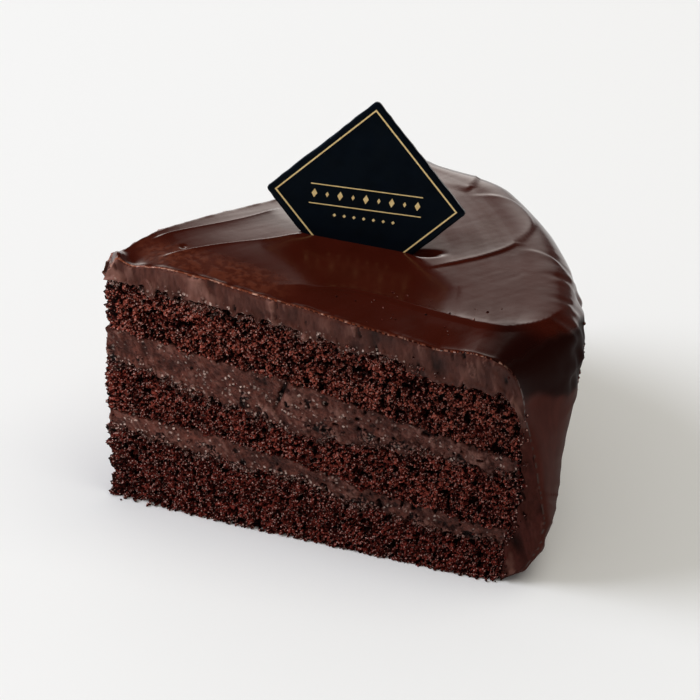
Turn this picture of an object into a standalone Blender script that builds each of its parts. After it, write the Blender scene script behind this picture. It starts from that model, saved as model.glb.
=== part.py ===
"""Slice of a round chocolate cake: a sixth of the cake, cut to show three sponges, two
ganache fillings and a ganache coat, with a square chocolate plaque stood in the top.

Sizes below are in millimetres and degrees, and the meshes are made in metres. They are
written from the cake's own axis, which is the slice's tip: r runs out from it, phi turns
about it from the middle of the slice, and z is height. The finished slice is moved so that
its origin is on the ground in the middle of its box: +X points from the tip to the rim.
"""

import functools
import math

import bmesh
import bpy
from mathutils import Matrix, Vector

MM = 0.001
OBJECT_NAME = "chocolate_cake_slice"

# The cut
SLICE_ANGLE = 60.0
HALF_ANGLE = SLICE_ANGLE / 2
TIP_RADIUS = 1.0
GAP = 0.3
LAYER_STEPS = 12
FROSTING_STEPS = 48

# Heights of the faces between the layers, at these distances from the tip. The first row
# of each is along the cut at -30 degrees and the second along the cut at +30 degrees.
STATIONS = (TIP_RADIUS, 15, 30, 45, 60, 75, 90)
LEVELS = {
    "ground": ((0.0,) * len(STATIONS), (0.0,) * len(STATIONS)),
    "lower_filling_base": (
        (20.0, 18.5, 16.2, 15.8, 13.0, 11.0, 10.5),
        (20.0, 19.5, 18.5, 17.5, 16.0, 14.5, 13.0),
    ),
    "lower_filling_top": (
        (24.0, 23.0, 22.0, 20.0, 17.0, 15.3, 13.5),
        (24.0, 23.8, 23.0, 22.0, 20.5, 19.0, 17.5),
    ),
    "upper_filling_base": (
        (37.5, 35.2, 31.5, 29.0, 28.5, 30.3, 29.5),
        (37.5, 36.5, 35.5, 34.0, 32.5, 31.0, 30.0),
    ),
    "upper_filling_top": (
        (46.0, 44.0, 42.5, 41.0, 38.2, 36.3, 33.5),
        (46.0, 44.5, 43.0, 41.0, 39.0, 37.0, 35.0),
    ),
    "cake_top": (
        (58.8, 58.0, 56.7, 55.2, 53.7, 52.0, 50.0),
        (58.8, 58.5, 57.0, 55.0, 52.8, 50.8, 48.8),
    ),
}

# Outer wall of the sponges as (z, r), and the rounding of the top sponge's outer edge
CAKE_WALL = ((0, 93.5), (10, 94.2), (17, 96.5), (28, 97.5), (60, 97.5))
CAKE_SHOULDER_DROP = 9.0
CAKE_SHOULDER_POINTS = 2

# Outer wall of the coat as (z, r): at the two cuts, where the knife drew it in above and
# pushed it out below, and round the rest of the rim, which grows or shrinks by the drift
# from the middle of the slice to the far cut
RIM_RADIUS = 105.2
FOOT_RADIUS = 104.3
COAT_WALL_AT_CUT = (
    (0, 94.6), (2.5, 98.6), (7, 101.9), (12, 103.7), (16, FOOT_RADIUS), (22, 103.4), (42, 100.3),
    (46, 98.6),
)
COAT_WALL_AT_RIM = ((0, 95.6), (2.5, 98.4), (8, 99.8), (46, RIM_RADIUS))
RIM_DRIFT = -2.0
WALL_HEIGHTS = (0, 2.5, 7, 12, 16, 22, 30, 38, 46)
CORNER_SPAN = 14.0
SHOULDER_AT_CUT = 90.0
SHOULDER_AT_RIM = 93.0
SHOULDER_POINTS = 5

# Top of the frosting as (r, z) along the two cuts
FROSTING_NEAR = (
    (1, 61.7), (4, 63.5), (15, 64.0), (25, 63.4), (40, 61.7), (55, 60.0), (70, 58.5), (78, 57.3),
    (86, 58.1), (93, 57.2),
)
FROSTING_FAR = (
    (1, 61.7), (4, 63.2), (8, 64.5), (14, 65.5), (30, 63.6), (50, 60.4), (75, 56.7), (86, 55.6), (93, 54.8),
)
TOP_POINTS = 36

# Spatula strokes in the top. Each is the crest of a ridge seen from above as (x, y) from
# the tip, with the soft side of the ridge on the left of its run, and the ridge's height.
STROKES = (
    (((47, 6), (38, 2.7), (28, 0.6), (20, -1), (12, -3)), 1.2),
    (((43, 19.5), (36, 14.3), (28, 10.2), (20, 7.4), (11, 4)), 1.0),
    (
        ((69, -9), (78, -6.3), (86, -3.6), (93, 0.5), (98, 7), (99.5, 14), (97.5, 21), (93, 24), (86, 24.5)),
        1.4,
    ),
    (
        ((38, -17), (44, -14), (52, -14.6), (61, -18.5), (71, -24.5), (82, -29.3), (91, -29.3),
         (98, -25.5), (102.5, -18), (103, -10), (99.5, -4), (92, -1)),
        1.4,
    ),
    (((86, 26), (90, 31), (91.5, 38), (89, 46)), 0.8),
)
RIDGE_SOFT_SIDE = 7.0
RIDGE_STEEP_SIDE = 2.0
RIDGE_FADE = 0.15

# The plaque: a thin square stood on one corner, leaning back from the near cut
PLAQUE_SIDE = 32.0
PLAQUE_THICKNESS = 1.5
PLAQUE_EDGE = 0.3
PLAQUE_CENTRE = (59.6, 5.1, 69.7)
PLAQUE_TURN = -16.5
PLAQUE_LEAN = -20.6
PLAQUE_ROLL = 45 + 4.1

BOX_MIDDLE = (TIP_RADIUS * math.cos(math.radians(HALF_ANGLE)) + RIM_RADIUS) / 2

# Base colour (linear), roughness and metallic value of each material
SPONGE_LOOK = ((0.045, 0.012, 0.010), 0.85, 0.0)
FILLING_LOOK = ((0.065, 0.026, 0.020), 0.45, 0.0)
FROSTING_LOOK = ((0.035, 0.007, 0.005), 0.22, 0.0)
PLAQUE_LOOK = ((0.004, 0.005, 0.008), 0.5, 0.0)


def clear_scene():
    for old in list(bpy.data.objects):
        bpy.data.objects.remove(old)


def new_collection(name):
    collection = bpy.data.collections.new(name)
    bpy.context.scene.collection.children.link(collection)
    return collection


def new_material(name, look):
    colour, roughness, metallic = look
    material = bpy.data.materials.new(name)
    material.use_nodes = True
    shader = material.node_tree.nodes["Principled BSDF"]
    shader.inputs["Base Color"].default_value = (*colour, 1.0)
    shader.inputs["Roughness"].default_value = roughness
    shader.inputs["Metallic"].default_value = metallic
    return material


def along(knots, at):
    """The value at `at` on the straight lines through (position, value) knots."""
    if at <= knots[0][0]:
        return knots[0][1]
    for (low, first), (high, second) in zip(knots, knots[1:]):
        if at <= high:
            return first + (second - first) * (at - low) / (high - low)
    return knots[-1][1]


def mix(first, second, share):
    return first + (second - first) * share


def smooth(share):
    share = min(max(share, 0.0), 1.0)
    return share * share * (3 - 2 * share)


def across(phi):
    """How far phi is across the slice: 0 at the near cut and 1 at the far one."""
    return (phi + HALF_ANGLE) / SLICE_ANGLE


def rim_share(phi):
    """0 at the two cuts and 1 on the rim between the slice's rounded corners."""
    return smooth((HALF_ANGLE - abs(phi)) / CORNER_SPAN)


def level_points(name, phi, lift):
    """(r, z) of a face between layers, from the tip to its last station."""
    near, far = LEVELS[name]
    share = across(phi)
    return [(r, mix(low, high, share) + lift) for r, low, high in zip(STATIONS, near, far)]


def quarter_arc(start, end, points):
    """Points between `start`, where the arc runs outwards, and `end`, where it runs down."""
    width = end[0] - start[0]
    drop = start[1] - end[1]
    turns = [math.pi / 2 * step / (points + 1) for step in range(1, points + 1)]
    return [(start[0] + width * math.sin(t), end[1] + drop * math.cos(t)) for t in turns]


def ridge_height(points, x, y):
    """A ridge of height 1: it falls softly on the left of its run, steeply on the right."""
    lengths = [math.dist(a, b) for a, b in zip(points, points[1:])]
    total = sum(lengths)
    done = 0.0
    nearest = None
    for (ax, ay), (bx, by), length in zip(points, points[1:], lengths):
        dx, dy = (bx - ax) / length, (by - ay) / length
        run = min(max((x - ax) * dx + (y - ay) * dy, 0.0), length)
        away = math.hypot(x - ax - run * dx, y - ay - run * dy)
        left = dx * (y - ay) - dy * (x - ax)
        if nearest is None or away < nearest[0]:
            nearest = (away, left, (done + run) / total)
        done += length
    away, left, share = nearest
    fade = smooth(share / RIDGE_FADE) * smooth((1 - share) / RIDGE_FADE)
    if left >= 0:
        return fade * math.exp(-away / RIDGE_SOFT_SIDE)
    return fade * math.exp(-((away / RIDGE_STEEP_SIDE) ** 2))


def frosting_top(r, phi):
    """Height of the frosting: its two cut edges, blended, with the spatula's ridges."""
    base = mix(along(FROSTING_NEAR, r), along(FROSTING_FAR, r), across(phi))
    angle = math.radians(phi)
    x, y = r * math.cos(angle), r * math.sin(angle)
    return base + max(height * ridge_height(points, x, y) for points, height in STROKES)


def coat_wall(z, phi):
    rim = along(COAT_WALL_AT_RIM, z) + RIM_DRIFT * phi / HALF_ANGLE
    return mix(along(COAT_WALL_AT_CUT, z), rim, rim_share(phi))


def cake_top_edge(phi, lift):
    """The top sponge's rounded outer edge, from its top face down to its wall."""
    start = level_points("cake_top", phi, lift)[-1]
    end = (along(CAKE_WALL, start[1]) + lift, start[1] - CAKE_SHOULDER_DROP)
    return quarter_arc(start, end, CAKE_SHOULDER_POINTS) + [end]


def layer_section(base, top, phi):
    """Outline of a layer in the upright plane at phi, counter-clockwise from the tip."""
    lower = level_points(base, phi, 0.0 if base == "ground" else GAP / 2)
    upper = level_points(top, phi, -GAP / 2)
    outer_base = (along(CAKE_WALL, lower[-1][1]), lower[-1][1])
    if top == "cake_top":
        outer = [outer_base] + cake_top_edge(phi, -GAP / 2)[::-1]
    else:
        outer = [outer_base, (along(CAKE_WALL, upper[-1][1]), upper[-1][1])]
    return lower + outer + upper[::-1]


def frosting_section(phi):
    """Outline of the coat: out along the foot, up the wall, in over the top, and back
    along its inner face, which follows the layers."""
    wall = [(coat_wall(z, phi), z) for z in WALL_HEIGHTS]
    edge_r = mix(SHOULDER_AT_CUT, SHOULDER_AT_RIM, rim_share(phi))
    edge = (edge_r, frosting_top(edge_r, phi))
    shoulder = quarter_arc(edge, wall[-1], SHOULDER_POINTS)[::-1]
    spread = [mix(edge_r, TIP_RADIUS, step / (TOP_POINTS - 1)) for step in range(TOP_POINTS)]
    top = [(r, frosting_top(r, phi)) for r in spread]
    underside = level_points("cake_top", phi, GAP / 2)
    inner = cake_top_edge(phi, GAP / 2)
    for name in reversed(list(LEVELS)[:-1]):
        z = level_points(name, phi, 0.0)[-1][1]
        inner.append((along(CAKE_WALL, z) + GAP, z))
    return wall + shoulder + top + underside + inner


def loft(name, section, steps, material, collection):
    """A closed piece swept about the cake's axis, with its outline worked out at each angle."""
    mesh = bpy.data.meshes.new(name)
    shape = bmesh.new()
    rings = []
    for step in range(steps + 1):
        phi = mix(-HALF_ANGLE, HALF_ANGLE, step / steps)
        angle = math.radians(phi)
        points = [(r * math.cos(angle) - BOX_MIDDLE, r * math.sin(angle), z) for r, z in section(phi)]
        rings.append([shape.verts.new(Vector(point) * MM) for point in points])
    for ring, following in zip(rings, rings[1:]):
        for i in range(len(ring)):
            shape.faces.new((ring[i - 1], ring[i], following[i], following[i - 1]))
    cut_faces = [shape.faces.new(rings[0][::-1]), shape.faces.new(rings[-1])]
    bmesh.ops.triangulate(shape, faces=cut_faces, ngon_method="BEAUTY")
    bmesh.ops.recalc_face_normals(shape, faces=shape.faces)
    shape.to_mesh(mesh)
    shape.free()
    piece = bpy.data.objects.new(name, mesh)
    collection.objects.link(piece)
    mesh.materials.append(material)
    mesh.shade_smooth()
    mesh.set_sharp_from_angle(angle=math.radians(40))
    return piece


def plaque_block(name, side, thickness, collection):
    """A square tile stood on one corner in the plaque's place."""
    mesh = bpy.data.meshes.new(name)
    shape = bmesh.new()
    bmesh.ops.create_cube(shape, size=1.0)
    bmesh.ops.scale(shape, vec=Vector((side, thickness, side)) * MM, verts=shape.verts)
    shape.to_mesh(mesh)
    shape.free()
    x, y, z = PLAQUE_CENTRE
    place = Matrix.Translation(Vector((x - BOX_MIDDLE, y, z)) * MM)
    turn = Matrix.Rotation(math.radians(PLAQUE_TURN), 4, "Z")
    lean = Matrix.Rotation(math.radians(PLAQUE_LEAN), 4, "X")
    roll = Matrix.Rotation(math.radians(PLAQUE_ROLL), 4, "Y")
    piece = bpy.data.objects.new(name, mesh)
    piece.matrix_world = place @ turn @ lean @ roll
    collection.objects.link(piece)
    return piece


def make_plaque(collection, cutters, pierced):
    """The plaque, and the slot that it makes in the pieces that it pierces."""
    plaque = plaque_block("topper_plaque", PLAQUE_SIDE, PLAQUE_THICKNESS, collection)
    plaque.data.materials.append(new_material("plaque_chocolate", PLAQUE_LOOK))
    bevel = plaque.modifiers.new("worn_edges", "BEVEL")
    bevel.width = PLAQUE_EDGE * MM
    bevel.segments = 1
    slot = plaque_block("plaque_slot", PLAQUE_SIDE + 2 * GAP, PLAQUE_THICKNESS + 2 * GAP, cutters)
    slot.hide_render = True
    slot.display_type = "WIRE"
    for piece in pierced:
        cut = piece.modifiers.new("plaque_slot", "BOOLEAN")
        cut.operation = "DIFFERENCE"
        cut.object = slot


def make_cake(collection):
    """The stack of sponges and fillings from the bottom up, then the coat over them."""
    sponge = new_material("chocolate_sponge", SPONGE_LOOK)
    filling = new_material("ganache_filling", FILLING_LOOK)
    frosting = new_material("ganache_frosting", FROSTING_LOOK)
    stack = (
        ("sponge_bottom", "ground", "lower_filling_base", sponge),
        ("filling_lower", "lower_filling_base", "lower_filling_top", filling),
        ("sponge_middle", "lower_filling_top", "upper_filling_base", sponge),
        ("filling_upper", "upper_filling_base", "upper_filling_top", filling),
        ("sponge_top", "upper_filling_top", "cake_top", sponge),
    )
    pieces = {}
    for name, base, top, material in stack:
        section = functools.partial(layer_section, base, top)
        pieces[name] = loft(name, section, LAYER_STEPS, material, collection)
    pieces["frosting"] = loft("frosting", frosting_section, FROSTING_STEPS, frosting, collection)
    return pieces


def main():
    clear_scene()
    collection = new_collection(OBJECT_NAME)
    cutters = new_collection("cutters")
    pieces = make_cake(collection)
    make_plaque(collection, cutters, (pieces["frosting"], pieces["sponge_top"]))


main()
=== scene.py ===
"""A slice of chocolate layer cake: three sponges, two fillings, a ganache coat and a plaque.

Lengths are in millimetres until a mesh is made. The cake's axis is at the slice's tip: r is
the distance from it, and phi runs from the near cut at -30 degrees to the far one at +30.
"""

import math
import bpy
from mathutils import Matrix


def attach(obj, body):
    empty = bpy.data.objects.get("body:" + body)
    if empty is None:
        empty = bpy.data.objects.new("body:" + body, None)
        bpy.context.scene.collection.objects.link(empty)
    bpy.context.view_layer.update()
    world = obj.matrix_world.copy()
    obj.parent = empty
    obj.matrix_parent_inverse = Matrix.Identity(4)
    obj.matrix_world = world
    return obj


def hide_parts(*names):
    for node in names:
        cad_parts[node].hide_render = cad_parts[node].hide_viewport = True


bl_info = {
    "name": "Chocolate cake slice",
    "version": (1, 0, 0),
    "blender": (4, 5, 0),
    "location": "3D View > Sidebar > Cake",
    "description": "Dresses a slice of chocolate layer cake with crumb, cream and ganache",
    "category": "Object",
}

import bpy
import numpy as np
from bpy.props import FloatProperty, FloatVectorProperty, IntProperty, PointerProperty
from bpy.types import Operator, Panel, PropertyGroup
from mathutils import Matrix, Vector

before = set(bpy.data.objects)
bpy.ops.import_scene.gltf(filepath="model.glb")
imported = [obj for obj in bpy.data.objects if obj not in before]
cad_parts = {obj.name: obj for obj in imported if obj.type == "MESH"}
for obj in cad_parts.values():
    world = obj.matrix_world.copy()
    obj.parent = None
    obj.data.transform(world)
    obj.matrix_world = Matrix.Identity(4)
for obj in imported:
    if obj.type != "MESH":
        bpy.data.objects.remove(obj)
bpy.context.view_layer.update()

MM = 0.001
HALF_ANGLE = 30.0
TIP_RADIUS = 1.0
RIM_RADIUS = 105.2
BOX_MIDDLE = (TIP_RADIUS * math.cos(math.radians(HALF_ANGLE)) + RIM_RADIUS) / 2
CUT_NORMALS = np.array(((-0.5, -math.sqrt(0.75), 0.0), (-0.5, math.sqrt(0.75), 0.0)))

# Faces between the layers: r, the height along the near cut, the height along the far cut
STATIONS = (1, 15, 30, 45, 60, 75, 90)
LEVELS = {
    "ground": ((0,) * 7, (0,) * 7),
    "lower_filling_base": (
        (20.0, 18.5, 16.2, 15.8, 13.0, 11.0, 10.5),
        (20.0, 19.5, 18.5, 17.5, 16.0, 14.5, 13.0),
    ),
    "lower_filling_top": (
        (24.0, 23.0, 22.0, 20.0, 17.0, 15.3, 13.5),
        (24.0, 23.8, 23.0, 22.0, 20.5, 19.0, 17.5),
    ),
    "upper_filling_base": (
        (37.5, 35.2, 31.5, 29.0, 28.5, 30.3, 29.5),
        (37.5, 36.5, 35.5, 34.0, 32.5, 31.0, 30.0),
    ),
    "upper_filling_top": (
        (46.0, 44.0, 42.5, 41.0, 38.2, 36.3, 33.5),
        (46.0, 44.5, 43.0, 41.0, 39.0, 37.0, 35.0),
    ),
    "cake_top": (
        (58.8, 58.0, 56.7, 55.2, 53.7, 52.0, 50.0),
        (58.8, 58.5, 57.0, 55.0, 52.8, 50.8, 48.8),
    ),
}
# How far a face between layers wanders, and how far it is torn or smeared over, in mm
RAGGED = {
    "ground": 0.0,
    "lower_filling_base": 1.3,
    "lower_filling_top": 0.8,
    "upper_filling_base": 1.8,
    "upper_filling_top": 0.9,
    "cake_top": 0.5,
}
CAKE_WALL = ((0, 93.5), (10, 94.2), (17, 96.5), (28, 97.5), (60, 97.5))
CAKE_SHOULDER = (90.0, 7.5, 9.0)

# Large holes torn in the sponges at the near cut, as (r, z, half width)
TORN_HOLES = (
    (87, 20, 1.1), (92, 34.5, 1.3), (2.5, 38, 1.2), (61, 21, 0.8), (20, 50.5, 0.9), (44, 47, 0.8),
    (73, 25, 0.8),
)

# The ganache coat: (z, r) of its wall at a cut and at the rim, and (r, z) of its top edges
COAT_WALL_AT_CUT = (
    (0, 94.6), (2.5, 98.6), (7, 101.9), (12, 103.7), (16, 104.3), (22, 103.4), (36, 101.0), (42, 99.2),
    (46, 97.9),
)
COAT_WALL_AT_RIM = ((0, 95.6), (2.5, 98.4), (8, 99.8), (46, RIM_RADIUS))
COAT_WALL_TOP = 46.0
# Where its gloss gives way to the wiped wall, and the line above which that wall is painted dark as shade, as
# (phi, z)
GLOSS_ENDS = ((-30, 57), (-24, 56), (-17, 55), (-10, 53), (-3, 45), (30, 40))
WALL_SHADE_LINE = ((-30, 50), (-24, 45), (-17, 40), (-8, 41), (30, 40))
RIM_DRIFT = -2.0
CORNER_SPAN = 14.0
SHOULDER_AT_CUT = 90.0
SHOULDER_AT_RIM = 93.0
TOP_AT_NEAR_CUT = (
    (1, 61.7), (4, 63.5), (15, 64.0), (25, 63.4), (40, 61.7),
    (55, 60.0), (70, 58.5), (78, 57.3), (86, 58.1), (93, 57.2),
)
TOP_AT_FAR_CUT = (
    (1, 61.7), (4, 63.2), (8, 64.5), (14, 65.5), (30, 63.6), (50, 60.4), (75, 56.7), (86, 55.6), (93, 54.8),
)
# Crests that the spatula left, (x, y) with the soft side on the left of the run, and height
STROKES = (
    (((47, 6), (38, 2.7), (28, 0.6), (20, -1), (12, -3)), 0.5),
    (((43, 19.5), (36, 14.3), (28, 10.2), (20, 7.4), (11, 4)), 0.55),
    (
        ((69, -9), (78, -6.3), (86, -3.6), (93, 0.5), (98, 7), (99.5, 14), (97.5, 21), (93, 24), (86, 24.5)),
        0.3,
    ),
    (
        (
            (38, -18.5), (44, -17), (52, -18), (61, -22), (71, -28), (82, -35),
            (91, -34), (98, -28), (102.5, -20), (103, -10), (99.5, -4), (92, -1),
        ),
        0.5,
    ),
    (((86, 26), (90, 31), (91.5, 38), (89, 46)), 0.4),
)
RIDGE_SOFT_SIDE = 4.5
RIDGE_CREST = 0.9
RIDGE_STEEP_SIDE = 0.4
RIDGE_FADE = 0.15
# The top falls towards the near cut: its height in mm and, by r, the width of its fall
CROWN_AT_TIP = (0.9, 9.0)
CROWN_HEIGHT = 1.2
CROWN_WIDTH = ((40, 5.0), (46, 7.5), (54, 10.0), (64, 11.3), (87, 11.8), (96, 16.0))

PLAQUE_SIDE = 32.0
PLAQUE_THICKNESS = 1.5
PLAQUE_CORNER = 0.6
PLAQUE_SOFT_EDGE = 0.35
BORDER_INSET = 1.65
BORDER_WIDTH = 0.34
GOLD_THICKNESS = 0.12
ORNAMENT_RULES = (2.3, -2.1)
RULE_HALF_LENGTH = 12.6
RULE_WIDTH = 0.22
PLAQUE_CENTRE = (59.6, 5.1, 69.7)
PLAQUE_TURN = -16.5
PLAQUE_LEAN = -20.6
PLAQUE_ROLL = 4.1

CAMERA_PLACE = (-0.10313, -0.6285, 0.4493)
CAMERA_TARGET = (0.00056, -0.00897, 0.03955)
CAMERA_LENS = 172.5


# ---- plain numbers -------------------------------------------------------------------------


def smooth(share):
    share = np.clip(share, 0.0, 1.0)
    return share * share * (3 - 2 * share)


def along(knots, at):
    places, values = zip(*knots)
    return np.interp(at, places, values)


def eased(knots, at, step=3.0):
    """The same run of values with its corners rounded over a few steps."""
    parts = [(3 - abs(number)) * along(knots, at + number * step) for number in range(-2, 3)]
    return sum(parts) / 9


def across(phi):
    return (phi + HALF_ANGLE) / (2 * HALF_ANGLE)


def rim_share(phi):
    return smooth((HALF_ANGLE - np.abs(phi)) / CORNER_SPAN)


def point(r, phi, z):
    """(x, y, z) about the cake's axis, in an array whose last side is 3 long."""
    angle = np.radians(phi)
    r, z = np.broadcast_arrays(r, z)
    return np.stack(np.broadcast_arrays(r * np.cos(angle), r * np.sin(angle), z), axis=-1)


def hashed(cells, seed):
    """A repeatable random number from 0 to 1 for each whole-number cell."""
    mixed = cells[..., 0] * 73856093 ^ cells[..., 1] * 19349663 ^ cells[..., 2] * 83492791
    mixed = (mixed ^ (seed + 1) * 2654435761) & 0xFFFFFFFF
    for _ in range(2):
        mixed = ((mixed ^ (mixed >> 16)) * 0x45D9F3B) & 0xFFFFFFFF
    return ((mixed ^ (mixed >> 16)) & 0xFFFFFF) / float(0xFFFFFF)


def wander(points, size, seed):
    """Smooth noise from -1 to 1 whose swells are about `size` apart."""
    places = np.asarray(points) / size
    cells = np.floor(places).astype(np.int64)
    share = places - cells
    share = share * share * (3 - 2 * share)
    total = 0.0
    for corner in np.ndindex(2, 2, 2):
        weight = np.prod(np.where(corner, share, 1 - share), axis=-1)
        total = total + weight * hashed(cells + np.array(corner), seed)
    return 2 * total - 1


def nearest_lump(points, size, seed):
    """Of lumps about `size` apart: the nearest one's distance, the next one's lag and its tone."""
    places = np.asarray(points) / size
    cells = np.floor(places).astype(np.int64)
    best = np.full(places.shape[:-1], 9.0)
    second = best.copy()
    tone = np.zeros(places.shape[:-1])
    for step in np.ndindex(3, 3, 3):
        cell = cells + np.array(step) - 1
        middle = np.stack([hashed(cell, seed + side) for side in range(3)], axis=-1)
        away = np.linalg.norm(cell + middle - places, axis=-1)
        closer = away < best
        second = np.where(closer, best, np.minimum(second, away))
        best = np.where(closer, away, best)
        tone = np.where(closer, hashed(cell, seed + 3), tone)
    return best, second - best, tone


def dome(away, reach):
    return np.sqrt(np.clip(1 - (away / reach) ** 2, 0, 1))


# ---- the slice's surfaces ------------------------------------------------------------------


def level(name, r, phi):
    """Height of a face between layers, with the top sponge's rounded outer edge."""
    near, far = LEVELS[name]
    share = across(phi)
    z = np.interp(r, STATIONS, near) * (1 - share) + np.interp(r, STATIONS, far) * share
    if name == "cake_top":
        start, width, drop = CAKE_SHOULDER
        z = z - drop * (1 - np.sqrt(np.clip(1 - (np.clip(r - start, 0, width) / width) ** 2, 0, 1)))
    return z


def ragged_level(name, r, phi):
    """The same face as the knife left it, wandering a little along its length."""
    z = level(name, r, phi)
    places = point(r, phi, np.zeros_like(z))
    seed = 11 * (list(LEVELS).index(name) + 1)
    slow = wander(places, 6.0, seed)
    quick = wander(places, 1.6, seed + 1)
    fine = wander(places, 0.7, seed + 2)
    return z + RAGGED[name] * (0.45 * slow + 0.6 * quick + 0.45 * fine)


def ridge_height(points, x, y):
    """A crest of height 1: it falls softly on the left of its run, steeply on the right."""
    lengths = [math.dist(a, b) for a, b in zip(points, points[1:])]
    total = sum(lengths)
    done = 0.0
    away = np.full(np.shape(x), 1e9)
    left = np.zeros(np.shape(x))
    share = np.zeros(np.shape(x))
    for (ax, ay), (bx, by), length in zip(points, points[1:], lengths):
        dx, dy = (bx - ax) / length, (by - ay) / length
        run = np.clip((x - ax) * dx + (y - ay) * dy, 0.0, length)
        here = np.hypot(x - ax - run * dx, y - ay - run * dy)
        closer = here < away
        away = np.where(closer, here, away)
        left = np.where(closer, dx * (y - ay) - dy * (x - ax), left)
        share = np.where(closer, (done + run) / total, share)
        done += length
    fade = smooth(share / RIDGE_FADE) * smooth((1 - share) / RIDGE_FADE)
    soft = 0.72 * np.exp(-away / RIDGE_SOFT_SIDE) + 0.28 * np.exp(-away / RIDGE_CREST)
    steep = np.exp(-((away / RIDGE_STEEP_SIDE) ** 2))
    return fade * np.where(left >= 0, soft, steep)


def smooth_run(points):
    """The same run of points, rounded by cutting its corners twice."""
    for _ in range(2):
        cut = [points[0]]
        for (ax, ay), (bx, by) in zip(points, points[1:]):
            cut.append((0.75 * ax + 0.25 * bx, 0.75 * ay + 0.25 * by))
            cut.append((0.25 * ax + 0.75 * bx, 0.25 * ay + 0.75 * by))
        points = cut + [points[-1]]
    return points


RUNS = [(smooth_run(points), height) for points, height in STROKES]


def from_cuts(r, phi):
    """Distances from the near and the far cut."""
    return r * np.sin(np.radians(HALF_ANGLE + phi)), r * np.sin(np.radians(HALF_ANGLE - phi))


def crown(r, phi):
    """How far the top stands above the blend of its two cut edges, falling to the near one."""
    near, far = from_cuts(r, phi)
    height, width = CROWN_AT_TIP
    part = np.minimum(near / width, 2.0)
    soft = height * (part - part * part / 4)
    crisp = CROWN_HEIGHT * np.minimum(near / along(CROWN_WIDTH, r), 1.0)
    share = smooth((r - 36) / 10)
    return (soft * (1 - share) + crisp * share) * smooth(far / 22) * smooth((r - 4) / 10)


def coat_base(r, phi):
    """Height of the ganache without its ridges."""
    share = across(phi)
    near, _ = from_cuts(r, phi)
    lie = smooth(near / 8)
    edge = along(TOP_AT_NEAR_CUT, r) * (1 - lie) + eased(TOP_AT_NEAR_CUT, r, 5.0) * lie
    return edge * (1 - share) + eased(TOP_AT_FAR_CUT, r) * share + crown(r, phi)


def coat_ridges(r, phi):
    x, y = r * np.cos(np.radians(phi)), r * np.sin(np.radians(phi))
    return np.max([height * ridge_height(points, x, y) for points, height in RUNS], axis=0)


def coat_wall(z, phi):
    rim = along(COAT_WALL_AT_RIM, z) + RIM_DRIFT * phi / HALF_ANGLE
    share = rim_share(phi)
    return along(COAT_WALL_AT_CUT, z) * (1 - share) + rim * share


def shoulder_start(phi):
    share = rim_share(phi)
    return SHOULDER_AT_CUT * (1 - share) + SHOULDER_AT_RIM * share


# ---- making meshes -------------------------------------------------------------------------


def deselect():
    bpy.ops.object.select_all(action="DESELECT")


def sheet(places, marks):
    """A grid whose points go to `places`, with a float attribute for each of `marks`."""
    columns, rows = places.shape[0] - 1, places.shape[1] - 1
    bpy.ops.mesh.primitive_grid_add(x_subdivisions=columns, y_subdivisions=rows, size=2)
    made = bpy.context.object
    mesh = made.data
    flat = np.empty(len(mesh.vertices) * 3)
    mesh.vertices.foreach_get("co", flat)
    flat = flat.reshape(-1, 3)
    i = np.rint((flat[:, 0] + 1) / 2 * columns).astype(int)
    j = np.rint((flat[:, 1] + 1) / 2 * rows).astype(int)
    moved = (places[i, j] - np.array((BOX_MIDDLE, 0, 0))) * MM
    mesh.vertices.foreach_set("co", moved.ravel())
    for name, values in marks.items():
        attribute = mesh.attributes.new(name, "FLOAT", "POINT")
        attribute.data.foreach_set("value", np.broadcast_to(values, places.shape[:2])[i, j].ravel())
    mesh.update()
    made.select_set(False)
    return made


def sew(name, sheets, materials):
    """One closed piece from sheets whose borders meet."""
    deselect()
    for made in sheets:
        made.select_set(True)
    bpy.context.view_layer.objects.active = sheets[0]
    bpy.ops.object.join()
    piece = bpy.context.object
    piece.name = name
    piece.data.name = name
    bpy.ops.object.mode_set(mode="EDIT")
    bpy.ops.mesh.select_all(action="SELECT")
    bpy.ops.mesh.remove_doubles(threshold=0.002 * MM)
    bpy.ops.mesh.dissolve_degenerate(threshold=0.002 * MM)
    bpy.ops.mesh.normals_make_consistent(inside=False)
    bpy.ops.object.mode_set(mode="OBJECT")
    bpy.ops.object.shade_smooth()
    if not piece.data.materials:
        for material in materials:
            piece.data.materials.append(material)
    deselect()
    return piece


def linear(colour):
    """An sRGB hex colour, such as 3A1D16, as linear RGBA."""
    parts = [int(colour[i : i + 2], 16) / 255 for i in (0, 2, 4)]
    return tuple(c / 12.92 if c <= 0.04045 else ((c + 0.055) / 1.055) ** 2.4 for c in parts) + (1.0,)


def add_node(tree, kind, sockets=None, **settings):
    """A node with its settings; a socket takes a value, or another node's output as a link."""
    made = tree.nodes.new(kind)
    for name, value in settings.items():
        setattr(made, name, value)
    for name, value in (sockets or {}).items():
        if isinstance(value, bpy.types.NodeSocket):
            tree.links.new(value, made.inputs[name])
        else:
            made.inputs[name].default_value = value
    return made


def new_material(name):
    material = bpy.data.materials.new(name)
    material.use_nodes = True
    tree = material.node_tree
    tree.nodes.clear()
    shader = add_node(tree, "ShaderNodeBsdfPrincipled")
    add_node(tree, "ShaderNodeOutputMaterial", {"Surface": shader.outputs[0]})
    coords = add_node(tree, "ShaderNodeTexCoord").outputs["Object"]
    return material, tree, shader, coords


def ramp(tree, factor, stops):
    """A colour ramp through (place, sRGB hex) stops."""
    made = add_node(tree, "ShaderNodeValToRGB", {"Fac": factor})
    while len(made.color_ramp.elements) < len(stops):
        made.color_ramp.elements.new(0.5)
    for element, (place, colour) in zip(made.color_ramp.elements, stops):
        element.position = place
        element.color = linear(colour)
    return made.outputs["Color"]


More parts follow.
